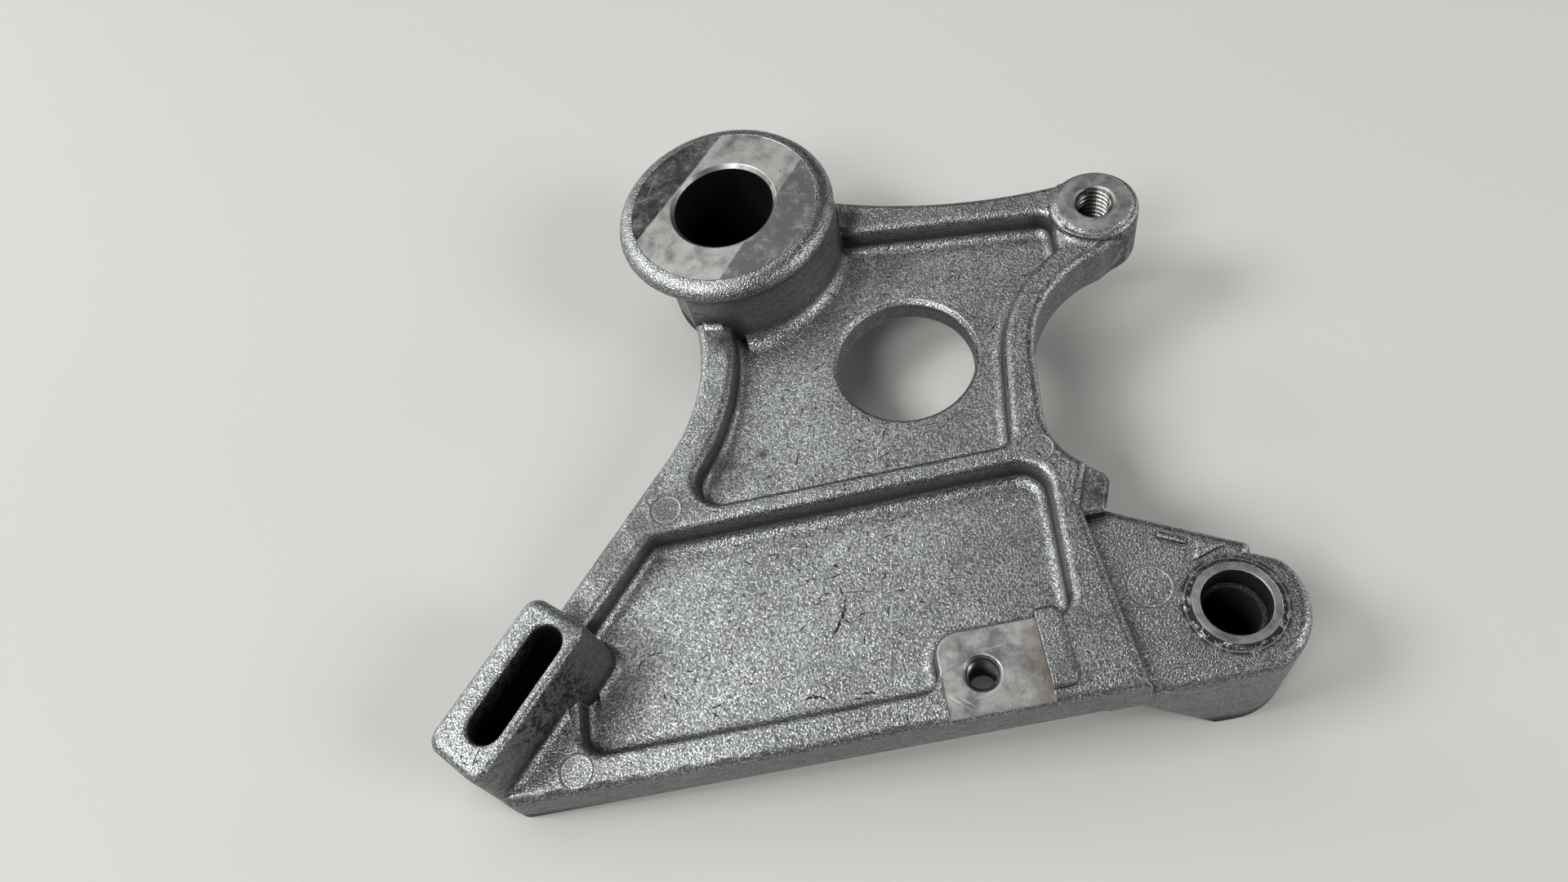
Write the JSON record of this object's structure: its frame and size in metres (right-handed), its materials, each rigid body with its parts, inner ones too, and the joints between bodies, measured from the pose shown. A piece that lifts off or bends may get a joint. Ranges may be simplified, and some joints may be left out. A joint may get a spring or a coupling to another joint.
{
  "type": "brake caliper bracket",
  "caption": "Cast bracket that carries a sliding brake caliper on a wheel axle, with a ribbed web, a slotted torque stop and a deep slide-pin boss.",
  "frame": {"origin": "on the axle axis, at the back end of the axle boss", "axes": "+Z along the axle towards the machined face that the picture shows, +X along the straight front edge towards the slide-pin boss, +Y from that edge towards the axle"},
  "size_m": [0.1575, 0.142, 0.0452],
  "materials": {
    "cast_aluminium": "shot-blasted aluminium casting with machined faces"
  },
  "bodies": {
    "root": {"bracket_casting": "cast_aluminium"}
  },
  "joints": []
}
